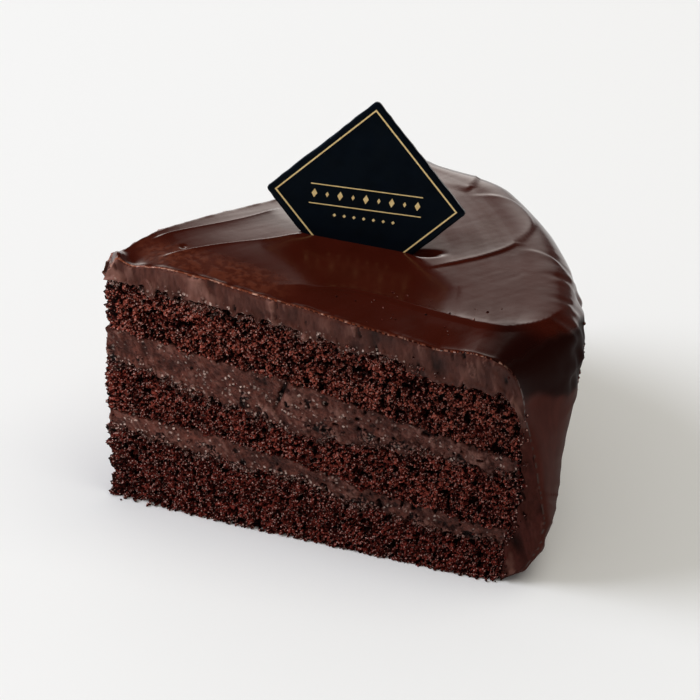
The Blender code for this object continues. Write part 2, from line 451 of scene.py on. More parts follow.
def grain(tree, coords, size, detail=2.0, roughness=0.5):
    """Noise from 0 to 1 whose swells are about `size` mm apart."""
    made = add_node(
        tree,
        "ShaderNodeTexNoise",
        {"Vector": coords, "Scale": 1 / (size * MM), "Detail": detail, "Roughness": roughness},
    )
    return made.outputs[0]


def reach(tree, value, low, high, to_low=0.0, to_high=1.0):
    """`value` from low..high to to_low..to_high, held at both ends."""
    made = add_node(
        tree,
        "ShaderNodeMapRange",
        {"Value": value, "From Min": low, "From Max": high, "To Min": to_low, "To Max": to_high},
    )
    return made.outputs[0]


def blend(tree, factor, first, second):
    made = add_node(
        tree, "ShaderNodeMix", {0: factor, 6: first, 7: second}, data_type="RGBA", blend_type="MIX"
    )
    return made.outputs[2]


def bump(tree, height, depth, normal=None):
    """Relief `depth` mm deep over the height's 0 to 1."""
    sockets = {"Height": height, "Distance": depth * MM, "Strength": 1.0}
    if normal:
        sockets["Normal"] = normal
    return add_node(tree, "ShaderNodeBump", sockets).outputs[0]


# ---- finishes ------------------------------------------------------------------------------


def marked(tree, name):
    return add_node(tree, "ShaderNodeAttribute", attribute_name=name).outputs["Fac"]


def times(tree, first, second):
    return add_node(tree, "ShaderNodeMath", {0: first, 1: second}, operation="MULTIPLY").outputs[0]


def stretched(tree, coords, factors):
    return add_node(tree, "ShaderNodeVectorMath", {0: coords, 1: factors}, operation="MULTIPLY").outputs[0]


def chips(tree, coords, size):
    """Angular cells about `size` mm across: their distance field, and a random number each."""
    made = add_node(tree, "ShaderNodeTexVoronoi", {"Vector": coords, "Scale": 1 / (size * MM)})
    chance = add_node(tree, "ShaderNodeSeparateXYZ", {0: made.outputs["Color"]}).outputs["X"]
    return made.outputs["Distance"], chance


def outwards(tree, coords, low, high):
    """From `low` at the tip to `high` at the rim."""
    x = add_node(tree, "ShaderNodeSeparateXYZ", {0: coords}).outputs["X"]
    return reach(tree, x, -0.045, 0.03, low, high)


def sponge_finish(name, fade, pit, crumb, raised):
    """Baked chocolate sponge, cut and torn: dark open crumb, with painted glints on its lumps, its pits
    painted near black as shade, its peaks painted lighter, and painted shade towards the rim.
    """
    material, tree, shader, coords = new_material(name)
    relief, tone, cream = (marked(tree, mark) for mark in ("relief", "tone", "edge"))
    bits, chance = chips(tree, coords, 0.38)
    # The relief and a random share per cell pick the colour: pits are painted near black as shade and peaks
    # lighter as light; the random share is the crumb's own tone.
    level = add_node(
        tree, "ShaderNodeMath", {0: relief, 1: reach(tree, chance, 0.0, 1.0, -0.3, 0.3)}, operation="ADD"
    ).outputs[0]
    colour = ramp(tree, level, ((0.24, pit), (0.5, "1C0503"), (0.72, crumb), (0.96, raised)))
    patches = reach(tree, grain(tree, coords, 5.0, 2.0), 0.46, 0.62, 0.0, 0.45)
    colour = blend(tree, patches, colour, linear("1A0504"))
    warm = reach(tree, tone, 0.6, 1.0, 0.0, 0.5)
    colour = blend(tree, warm, colour, linear("661C14"))
    smear = times(tree, cream, reach(tree, level, 0.2, 0.6))
    colour = blend(tree, smear, colour, linear("5E3A32"))
    # Painted glints: near-white specks on raised lumps, more of them where cream is smeared, fainter towards
    # the rim.
    glint_chance = add_node(
        tree, "ShaderNodeMath", {0: times(tree, cream, outwards(tree, coords, 0.3, 0.1)), 1: chance}
    )
    bright = reach(tree, glint_chance.outputs[0], 0.76, 1.0, 0.45, 1.0)
    painted_glint = times(tree, bright, reach(tree, bits, 0.38, 0.52, 1.0, 0.0))
    painted_glint = times(tree, painted_glint, reach(tree, glint_chance.outputs[0], 0.76, 0.77))
    painted_glint = times(tree, painted_glint, reach(tree, relief, 0.32, 0.6))
    colour = blend(tree, times(tree, painted_glint, outwards(tree, coords, 1.0, 0.7)), colour, linear("EEC8BC"))
    # More painted glints: flecks over the smeared cream, fewer towards the rim.
    glints_on_smear = times(tree, cream, outwards(tree, coords, 1.3, 0.6))
    glint_mask = times(tree, flecks(tree, unevenly(tree, coords), 0.65, 0.62), glints_on_smear)
    colour = blend(tree, times(tree, glint_mask, reach(tree, relief, 0.3, 0.5)), colour, linear("F2D4CA"))
    # Painted shade: darker towards the rim, by as much as fade gives.
    colour = blend(tree, outwards(tree, coords, 0.0, fade), colour, linear("160503"))
    tree.links.new(colour, shader.inputs["Base Color"])
    tree.links.new(reach(tree, chance, 0.5, 1.0, 0.6, 0.3), shader.inputs["Roughness"])
    coarse = bump(tree, grain(tree, coords, 0.8, 2.0), 0.35)
    tree.links.new(bump(tree, bits, -0.22, coarse), shader.inputs["Normal"])
    shader.inputs["Specular IOR Level"].default_value = 0.06
    return material


def unevenly(tree, coords):
    """The coordinates pushed about by fine noise, so that round marks come out ragged."""
    noise = add_node(tree, "ShaderNodeTexNoise", {"Vector": coords, "Scale": 1 / (0.7 * MM)}).outputs["Color"]
    return add_node(
        tree, "ShaderNodeVectorMath", {0: noise, 1: (0.7 * MM,) * 3, 2: coords}, operation="MULTIPLY_ADD"
    ).outputs[0]


def flecks(tree, coords, size, rarity):
    """A mask of small scattered flecks, in the share of cells above `rarity`."""
    away, chance = chips(tree, coords, size)
    held = times(tree, reach(tree, chance, rarity, rarity + 0.01), reach(tree, away, 0.3, 0.5, 1.0, 0.0))
    return times(tree, reach(tree, chance, rarity, 1.0, 0.35, 1.0), held)


def cream_surface(tree, shader, coords, base, bunch, specks, pull, size, rough):
    """Chocolate cream's pits, chips and fine relief over a base colour, with painted shade in the pits,
    painted light on the peaks, painted glints with painted shadows below them, and painted shade towards the
    rim.
    """
    drawn = stretched(tree, coords, (1.0, 1.0, pull))
    bits, chance = chips(tree, drawn, size)
    relief = marked(tree, "relief")
    base = blend(tree, reach(tree, chance, 0.0, 0.5, rough, 0.0), base, linear("2C1510"))
    # Painted shade in the pits and painted light on the peaks, by the relief mark.
    base = blend(tree, reach(tree, relief, 0.15, 0.52, 0.95, 0.0), base, linear("100403"))
    base = blend(tree, reach(tree, relief, 0.66, 0.95, 0.0, 0.75), base, linear("94665A"))
    # Painted glints, each with a painted shadow just below it, where bunch and specks allow.
    spread = unevenly(tree, coords)
    above = add_node(tree, "ShaderNodeVectorMath", {0: spread, 1: (0, 0, 0.4 * MM)}).outputs[0]
    shadow = times(tree, flecks(tree, above, 0.75, 0.5), times(tree, bunch, specks))
    base = blend(tree, shadow, base, linear("120504"))
    glint_mask = times(tree, flecks(tree, spread, 0.75, 0.6), times(tree, bunch, specks))
    base = blend(tree, glint_mask, base, linear("F0D0C2"))
    # Painted shade: darker towards the rim.
    base = blend(tree, outwards(tree, coords, 0.0, 0.5), base, linear("1C0805"))
    tree.links.new(base, shader.inputs["Base Color"])
    tree.links.new(reach(tree, chance, 0.5, 1.0, 0.58, 0.4), shader.inputs["Roughness"])
    coarse = bump(tree, grain(tree, drawn, 2.6 * size, 3.0), 0.9 * rough)
    tree.links.new(bump(tree, bits, -0.2 * rough, coarse), shader.inputs["Normal"])


def filling_finish(name, colour, shade, specks):
    """Chocolate buttercream cut by a knife: satin, chipped, with crumbs in it, painted darker in its pits and
    lighter on its chips, and with painted glints and their painted shadows.
    """
    material, tree, shader, coords = new_material(name)
    mottle = reach(tree, grain(tree, coords, 2.2, 3.0), 0.36, 0.64)
    rarer = reach(tree, grain(tree, coords, 9.0), 0.4, 0.6, 0.35, 1.0)
    bunch = times(tree, reach(tree, grain(tree, coords, 2.6, 2.0), 0.5, 0.6), rarer)
    # The tone mark adds painted glints, with their painted shadows, along the filling's lower border.
    bunch = add_node(
        tree, "ShaderNodeMath", {0: bunch, 1: marked(tree, "tone")}, operation="MAXIMUM"
    ).outputs[0]
    base = blend(tree, mottle, linear(shade), linear(colour))
    # Crumbs stuck in the cream: their pits painted near black as shade, their peaks lighter.
    crumb = ramp(tree, marked(tree, "relief"), ((0.1, "030100"), (0.5, "260C08"), (0.9, "5A2A21")))
    base = blend(tree, marked(tree, "edge"), base, crumb)
    cream_surface(tree, shader, coords, base, bunch, specks, 1.0, 0.5, 0.6)
    shader.inputs["Specular IOR Level"].default_value = 0.12
    return material


def satin_finish(name, colour, wall, deep, shine, specks):
    """Ganache cut or wiped by a knife: satin, drawn downwards, painted darker in its hollows and lighter on
    its swells, with painted glints and their painted shadows along its torn border.
    """
    material, tree, shader, coords = new_material(name)
    streaks = reach(tree, grain(tree, stretched(tree, coords, (1.0, 1.0, 0.35)), 2.2, 2.0), 0.35, 0.65)
    # The wall mark picks the colour: the band's own, then the wall's, then at its top the deep colour,
    # painted as shade.
    tone = marked(tree, "wall")
    light = ramp(tree, tone, ((0.0, colour), (0.6, wall), (1.0, deep)))
    dark = ramp(tree, tone, ((0.0, "502B23"), (0.6, "4C241D"), (1.0, deep)))
    base = blend(tree, streaks, dark, light)
    # The tone mark places painted glints and their painted shadows.
    cream_surface(tree, shader, coords, base, marked(tree, "tone"), specks, 0.5, 0.6, 0.3)
    shader.inputs["Specular IOR Level"].default_value = shine
    return material


def ganache_finish(name, colour, painted_light_colour, edge_highlight_colour, wall_colour, painted_shade_colour):
    """Poured chocolate ganache, spread and set: a gloss like freshly poured chocolate over dark red-brown,
    with a painted light patch, painted shade at the front right, a painted highlight line along the near cut,
    and painted shade on the wiped wall.
    """
    material, tree, shader, coords = new_material(name)
    painted_light = marked(tree, "painted_light")
    mottle = reach(tree, grain(tree, coords, 9.0, 2.0), 0.3, 0.7)
    base = blend(tree, mottle, linear(colour), linear("3A1109"))
    blots = reach(tree, grain(tree, coords, 1.5, 3.0), 0.44, 0.58)
    # Painted light: a warmer, lighter patch in blotches on the top near the near cut.
    base = blend(tree, times(tree, painted_light, reach(tree, blots, 0.0, 1.0, 0.35, 1.0)), base, linear(painted_light_colour))
    # Painted shade: dark where the lit mark is low, at the top's front right.
    base = blend(tree, marked(tree, "lit"), linear("140504"), base)
    # Painted highlight: an orange-brown line with lighter glints along the near cut's edge.
    glint = reach(tree, grain(tree, coords, 1.1, 2.0), 0.5, 0.66)
    line = blend(tree, glint, linear(edge_highlight_colour), linear("E0AC96"))
    base = blend(tree, marked(tree, "edge"), base, line)
    wiped = marked(tree, "wiped")
    drawn = reach(tree, grain(tree, stretched(tree, coords, (1.0, 1.0, 0.4)), 2.5, 3.0), 0.35, 0.65, 0.0, 0.5)
    wall = blend(tree, drawn, linear(wall_colour), linear("42201A"))
    # Painted shade on the wiped wall: the deep colour where the wall mark is high, and darker towards the
    # rim.
    wall = blend(tree, reach(tree, marked(tree, "wall"), 0.6, 1.0), wall, linear(painted_shade_colour))
    wall = blend(tree, outwards(tree, coords, 0.0, 0.5), wall, linear("1C0805"))
    tree.links.new(blend(tree, wiped, base, wall), shader.inputs["Base Color"])
    polish = reach(tree, grain(tree, coords, 5.0), 0.3, 0.7, 0.15, 0.2)
    polish = add_node(tree, "ShaderNodeMix", {0: wiped, 2: polish, 3: 0.5}).outputs[0]
    tree.links.new(polish, shader.inputs["Roughness"])
    tree.links.new(reach(tree, wiped, 0.0, 1.0, 0.5, 0.03), shader.inputs["Specular IOR Level"])
    shader.inputs["IOR"].default_value = 1.46
    shader.inputs["Specular Tint"].default_value = (1.0, 0.75, 0.63, 1.0)
    soft = bump(tree, grain(tree, coords, 2.4, 3.0), 0.02)
    fine = bump(tree, grain(tree, coords, 0.45, 1.0), 0.0035, soft)
    tree.links.new(bump(tree, times(tree, blots, painted_light), 0.014, fine), shader.inputs["Normal"])
    return material


def plaque_finish(name, colour):
    """Dark chocolate tinted black and moulded in a thin tile: smooth, with a low satin sheen."""
    material, tree, shader, coords = new_material(name)
    mottle = reach(tree, grain(tree, coords, 4.0, 3.0), 0.3, 0.7)
    base = blend(tree, mottle, linear(colour), linear("060B13"))
    # Painted highlight: a pale line along the tile's rim.
    base = blend(tree, marked(tree, "edge"), base, linear("8C8884"))
    tree.links.new(base, shader.inputs["Base Color"])
    tree.links.new(reach(tree, grain(tree, coords, 3.0), 0.3, 0.7, 0.3, 0.42), shader.inputs["Roughness"])
    tree.links.new(bump(tree, grain(tree, coords, 0.7, 3.0), 0.02), shader.inputs["Normal"])
    shader.inputs["Specular IOR Level"].default_value = 0.2
    shader.inputs["Specular Tint"].default_value = (0.5, 0.75, 1.0, 1.0)
    return material


def gold_finish(name, colour):
    """Edible gold ink, printed: a soft metal with a fine grain."""
    material, tree, shader, coords = new_material(name)
    mottle = reach(tree, grain(tree, coords, 0.8, 2.0), 0.3, 0.7)
    tree.links.new(blend(tree, mottle, linear(colour), linear("F8DC9E")), shader.inputs["Base Color"])
    shader.inputs["Metallic"].default_value = 0.15
    tree.links.new(reach(tree, grain(tree, coords, 0.4), 0.3, 0.7, 0.35, 0.5), shader.inputs["Roughness"])
    return material


def finish_named(name, make, *colours):
    return bpy.data.materials.get(name) or make(name, *colours)


# ---- layers --------------------------------------------------------------------------------


def crumb_relief(places, size, seed):
    """Depth of torn crumb in mm about its mean, its share from pit to peak, and lump tones."""
    pushes = [wander(places, 0.9 * size, seed + 60 + side) for side in range(3)]
    warp = 0.35 * size * np.stack(pushes, axis=-1)
    bent = places + warp
    lumps, gap, tone = nearest_lump(bent, size, seed)
    clumps, _, stand = nearest_lump(bent, 2.3 * size, seed + 10)
    step_out = np.mod(tone * 57.3, 1.0) - 0.5
    holes = smooth((wander(bent, 1.2 * size, seed + 30) - 0.2) / 0.3)
    caves = smooth((wander(places, 3.0 * size, seed + 35) - 0.5) / 0.25)
    body = 0.42 * smooth(gap / 0.4) + 0.35 * dome(lumps, 0.7) + 0.3 * dome(clumps, 0.8)
    depth = body + 0.75 * step_out + 0.3 * (stand - 0.5) - 0.9 * holes - 1.1 * caves
    share = np.clip((depth + 0.5) / 1.5, 0, 1)
    return depth - 0.5 + 0.25 * wander(places, 9.0, seed + 40), share, tone


def cream_relief(places, lie, seed):
    """Depth of knife-cut cream in mm, its share from pit to peak, and where crumbs stick in it."""
    slant = places @ np.array(((0.9, 0, -0.45), (0, 1, 0), (0.45, 0, 0.9)))
    drag = wander(slant / np.array((0.8, 0.8, 3.5)), 1.0, seed + 50)
    swell = wander(places, 4.0, seed + 51)
    _, gap, stand = nearest_lump(places + 0.4 * swell[..., None], 1.3, seed + 52)
    fine = wander(places, 0.6, seed + 54)
    pits = smooth((wander(places, 1.3, seed + 53) - 0.58) / 0.15)
    coarse = smooth((places[..., 0] - 22) / 30)
    chips = (stand - 0.5) * smooth(gap / 0.3)
    depth = 0.2 * drag + 0.28 * swell + (0.25 + 0.3 * coarse) * chips + 0.12 * fine - 0.9 * coarse * pits
    share = np.clip(0.6 + 0.85 * depth, 0, 1)
    torn, torn_share, _ = crumb_relief(places, 0.6, seed + 57)
    stuck = smooth((wander(places, 2.2, seed + 56) + 1.1 * (0.3 - lie) - 0.22) / 0.2)
    return depth * (1 - stuck) + (0.4 * torn + 0.2) * stuck, share * (1 - stuck) + torn_share * stuck, stuck


def creased(r, z, depth, share):
    """The upper filling's fold at the near cut, with a lump pushed up beside it."""
    line = r - 42 - 0.35 * (z - 38)
    beside = np.exp(-(((z - 37.5) / 3.4) ** 2))
    fold = np.exp(-((line / 0.6) ** 2)) * beside
    lump = np.exp(-(((line - 2.6) / 1.6) ** 2)) * beside
    # The fold is marked lower, so it is painted darker as shade, and the lump higher, so it is painted
    # lighter.
    return depth - 1.1 * fold + 0.6 * lump, np.clip(share - 0.7 * fold + 0.2 * lump, 0, 1)


def pitted(r, z, depth, share):
    """The near cut's large torn holes."""
    for hole_r, hole_z, wide in TORN_HOLES:
        hole = np.exp(-(((r - hole_r) / wide) ** 2) - ((z - hole_z) / (0.8 * wide)) ** 2)
        # Each hole is marked low, so it is painted near black as shade.
        depth, share = depth - 1.6 * hole, share * (1 - 0.9 * hole)
    return depth, share


def drag_relief(places, seed):
    """Depth in mm of soft ganache dragged down by the knife: streaks, swells and curls."""
    slant = places @ np.array(((1.0, 0, 0), (0, 1.0, 0), (0.3, 0, 1.0)))
    upright = slant * np.array((1.0, 1.0, 0.25))
    streaks = wander(upright, 1.3, seed + 50)
    fine = wander(places * np.array((1.0, 1.0, 0.35)), 0.5, seed + 54)
    swell = wander(places * np.array((1.0, 1.0, 0.6)), 3.2, seed + 51)
    folds = smooth((wander(upright, 2.2, seed + 55) - 0.25) / 0.25)
    cracks = smooth((wander(upright, 1.2, seed + 53) - 0.7) / 0.12)
    bent = upright + np.array((0.9, 0.9, 0.0)) * wander(places, 3.0, seed + 56)[..., None]
    threads = smooth((0.06 - np.abs(wander(bent, 3.4, seed + 57))) / 0.06) * smooth(swell / 0.3)
    depth = 0.12 * streaks + 0.07 * fine + 0.4 * swell + 0.25 * folds - 0.4 * cracks + 0.5 * threads
    return depth, np.clip(0.57 + 0.9 * depth, 0, 1)


def layer_piece(name, node, base, top, size, seed, columns, rows, lids, material):
    """A layer as a tube along r: near cut, top, far cut and base, closed at tip and wall."""
    rough = 1.0 if name.startswith("sponge") else 0.4
    u = np.linspace(0, 1, columns + 1)[:, None]
    r_line = TIP_RADIUS - 0.3 + (97.4 - TIP_RADIUS) * u
    v = np.linspace(0, 1, rows + 1)[None, :]
    sheets = []
    faces = {}
    for side, phi in enumerate((-HALF_ANGLE, HALF_ANGLE)):
        low = ragged_level(base, r_line, phi)
        high = ragged_level(top, r_line, phi)
        z = low + (high - low) * v
        wall = along(CAKE_WALL, z)
        r = r_line + (wall - 97.5) * smooth((r_line - 78) / 19.5)
        places = point(r, phi, z)
        is_sponge = name.startswith("sponge")
        if is_sponge:
            depth, share, tone = crumb_relief(places, size, seed)
            tone = np.maximum(tone, 1.1 * np.exp(-(((r - 88) / 5) ** 2) - ((z - 38) / 4) ** 2))
        else:
            depth, share, stuck = cream_relief(places, (z - low) / (high - low), seed)
            depth = depth + 0.25
        if side == 0:
            depth, share = pitted(r, z, depth, share) if is_sponge else creased(r, z, depth, share)
        depth = np.maximum(depth, -0.3 * r)
        towards_tip = smooth((4 - r) / 4)[..., None] * 0.85
        normal = CUT_NORMALS[side] * (1 - towards_tip) + np.array((-1.0, 0, 0)) * towards_tip
        places = places + normal * depth[..., None]
        upright = point(0.0, 0.0, z + 0 * r)
        teeth = 0.7 * wander(upright, 2.4, 81) + 0.6 * wander(upright, 0.9, 82) + 0.8
        places[..., 0] -= teeth * rough * smooth((2.5 - r) / 2.5)
        if base == "ground":
            bow = 1.1 * smooth((r - 4) / 22) * smooth((98 - r) / 14) * smooth((6 - z) / 6)
            places = places + CUT_NORMALS[side] * (bow if side == 0 else 0.5 * bow)[..., None]
        faces[side] = places
        below = high - z + 1.4 * wander(places, 1.4, 71) + 1.2 * wander(places, 4.0, 72)
        smear = 0.7 * smooth((1.9 - below) / 1.6)
        if not is_sponge:
            # For a filling, tone marks where painted glints and their painted shadows go, along its lower
            # border.
            tone = smooth((1.6 - (z - low)) / 1.2) * smooth((62 - r) / 20)
            smear = stuck
        marks = {"relief": share, "tone": tone, "edge": smear}
        sheets.append(sheet(places, marks))
    steps = np.linspace(0, 1, lids + 1)[None, :]
    for row, name_of_face in ((0, base), (rows, top)):
        start, end = faces[0][:, row : row + 1], faces[1][:, row : row + 1]
        phi = -HALF_ANGLE + 2 * HALF_ANGLE * steps
        flat = start * (1 - steps[..., None]) + end * steps[..., None]
        r = np.hypot(start[..., 0], start[..., 1]) * (1 - steps) + np.hypot(end[..., 0], end[..., 1]) * steps
        curved = point(r, phi, level(name_of_face, r, phi))
        inside = np.minimum(1.0, 4 * np.minimum(steps, 1 - steps))[..., None] * np.ones_like(flat)
        places = flat * (1 - inside) + curved * inside
        sheets.append(sheet(places, {"relief": 0.5, "tone": 0.3, "edge": 0.0}))
    for column in (0, columns):
        start, end = faces[0][column][None], faces[1][column][None]
        spread = np.linspace(0, 1, lids + 1)[:, None, None]
        places = start * (1 - spread) + end * spread
        if column:
            wall = np.hypot(start[..., 0], start[..., 1])
            phi = -HALF_ANGLE + 2 * HALF_ANGLE * spread[..., 0]
            curved = point(wall * np.ones_like(phi), phi, places[..., 2])
            inside = np.minimum(1.0, 4 * np.minimum(spread, 1 - spread))
            places = places * (1 - inside) + curved * inside
        sheets.append(sheet(places, {"relief": 0.5, "tone": 0.3, "edge": 0.0}))
    piece = sew(name, sheets, [material])
    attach(piece, "root")
    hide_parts(node)
    return piece


# ---- the ganache coat ----------------------------------------------------------------------


def wall_relief(z, phi):
    """Depth in mm of the marks on the coat's wall."""
    places = point(100.0, phi, z)
    slow = 0.35 * wander(places, 11.0, 301)
    crease = 0.22 * wander(places @ np.array(((1, 0, 0.0), (0, 1, 0.5), (0, 0, 1.0))), (14, 14, 3.0), 302)
    shelf = 0.25 * np.exp(-(((z - 37) / 1.0) ** 2)) * smooth((25 - np.abs(phi)) / 8)
    wave = np.abs(np.sin(np.pi * (z - 21) / 4.8)) * smooth((z - 19) / 3) * smooth((48 - z) / 3)
    scallop = wave * (0.9 * np.exp(-(((phi + 12.3) / 1.6) ** 2)) + 0.15 * smooth((phi + 14) / 4))
    ruffle = 0.8 * wander(places * np.array((1.0, 1.0, 0.6)), 1.9, 305) * smooth((z - 38) / 8)
    ruffle = ruffle * smooth((phi + 24) / 5) * smooth((2 - phi) / 6)
    foot = 0.5 * wander(places, 1.8, 303) * smooth((5 - z) / 4)
    slanted = places @ np.array(((1, 0, 0.0), (0, 1, 0.8), (0, 0.8, 1.0)))
    folds = np.abs(wander(slanted, (9, 9, 2.6), 304)) - 0.3
    folds = -0.6 * folds * smooth((30 - z) / 8) * smooth((-20 - phi) / 4)
    return slow + crease + shelf + scallop + foot + folds + ruffle


def top_relief(r, phi):
    """Height in mm of the small marks on the coat's top."""
    places = point(r, phi, 0 * r)
    x, y = places[..., 0], places[..., 1]
    slow = 0.05 * wander(places, 9.0, 311) * smooth((r - 6) / 10)
    drag = 0.008 * wander(places @ np.array(((0.9, -0.4, 0), (0.4, 0.9, 0), (0, 0, 1.0))), (9, 0.9, 1), 312)
    near_cut = np.minimum(*from_cuts(r, phi))
    wavy = 0.3 + 0.3 * wander(places, 2.6, 313) + 0.14 * wander(places, 0.9, 314)
    lip = np.exp(-((near_cut / 0.8) ** 2)) * wavy * smooth((r - 2) / 4) * np.where(phi < 0, 0.6, 0.3)
    round_off = -0.3 * np.exp(-near_cut / 0.2)
    curl = 2.1 * np.exp(-(((x - 3.0) / 1.7) ** 2) - ((y + 0.2) / 2.2) ** 2)
    hollow = -0.7 * np.exp(-(((x - 6.6) / 2.0) ** 2) - ((y + 2.4) / 2.6) ** 2)
    gash = -1.6 * np.exp(-(((x - 72.0) / 2.6) ** 2) - ((y + 2.3) / 0.9) ** 2)
    speck = -0.5 * np.exp(-(((x - 17.8) / 0.5) ** 2) - ((y - 0.4) / 0.5) ** 2)
    return slow + drag + lip + round_off + curl + hollow + gash + speck


def coat_lines(phi, wall_rows, arc_rows, top_rows):
    """(r, z) of the coat's outer and inner outlines at phi, row by row from foot to tip."""
    z_wall = np.linspace(0, COAT_WALL_TOP, wall_rows + 1)[:, None]
    r_wall = coat_wall(z_wall, phi)
    turn = np.linspace(0, 1, arc_rows + 1)[1:, None]
    edge = shoulder_start(phi)
    edge_z = coat_base(edge, phi)
    foot_r, foot_z = coat_wall(COAT_WALL_TOP, phi), COAT_WALL_TOP
    square = 1 - 0.28 * rim_share(phi)
    r_arc = edge + (foot_r - edge) * np.cos(turn * math.pi / 2).clip(0) ** square
    rise = np.sin(turn * math.pi / 2) ** square
    z_arc = foot_z + (edge_z - foot_z) * rise + coat_ridges(r_arc, phi) * rise
    share = np.linspace(0, 1, top_rows + 1)[1:, None]
    r_top = edge + (TIP_RADIUS - 0.6 - edge) * share
    z_top = coat_base(r_top, phi) + coat_ridges(r_top, phi)
    bulge = wall_relief(np.vstack((z_wall + 0 * phi, z_arc)), phi)
    bulge = bulge * np.vstack((np.ones_like(z_wall), 1 - turn))
    corner = 1.2 * np.exp(-np.minimum(*from_cuts(r_wall, phi)) / 1.0) * smooth((47 - z_wall) / 9)
    r_outer = np.vstack((r_wall - corner, r_arc)) + bulge
    r_outer = np.vstack((r_outer, r_top + 0 * phi))
    z_outer = np.vstack((z_wall + 0 * phi, z_arc, z_top))
    lift = np.vstack((np.zeros_like(z_wall), turn, np.ones_like(share)))
    z_outer = z_outer + lift * top_relief(r_outer, phi)

    start, width, drop = CAKE_SHOULDER
    z_turn = level("cake_top", start, phi) - drop
    z_in = z_turn * np.linspace(0, 1, wall_rows + 1)[:, None]
    r_in = along(CAKE_WALL, z_in) - 0.5
    r_bend = start + width * np.cos(turn * math.pi / 2) + 0 * phi
    z_bend = z_turn + drop * np.sin(turn * math.pi / 2)
    r_flat = start + (TIP_RADIUS - 0.6 - start) * share + 0 * phi
    z_flat = level("cake_top", r_flat, phi)
    r_inner = np.vstack((r_in, r_bend, r_flat))
    z_inner = np.vstack((z_in, z_bend, z_flat))
    return r_outer, z_outer, r_inner, z_inner


def fringe(r, phi, seed):
    """How far the cream is dragged down over the crumb below it, in mm."""
    places = point(r, phi, 0 * r)
    short = 0.55 * wander(places, 1.6, seed) + 0.4 * wander(places, 0.7, seed + 2)
    fingers = smooth((wander(places, 2.4, seed + 1) - 0.2) / 0.3)
    longer = 0.5 + 0.5 * wander(places, 6.0, seed + 3)
    return 0.1 + (short + (1.2 + 1.8 * longer) * fingers) * smooth((r - 1.5) / 3)


def face_middles(piece):
    """The middle of each face, in mm about the cake's axis."""
    flat = np.empty(len(piece.data.polygons) * 3)
    piece.data.polygons.foreach_get("center", flat)
    return flat.reshape(-1, 3) / MM + np.array((BOX_MIDDLE, 0, 0))


def dress(made, materials, picks):
    """Give a sheet all of the coat's materials, and each face the one that `picks` names."""
    for material in materials:
        made.data.materials.append(material)
    picks = np.broadcast_to(picks, len(made.data.polygons)).astype(np.int32)
    made.data.polygons.foreach_set("material_index", picks)
    return made


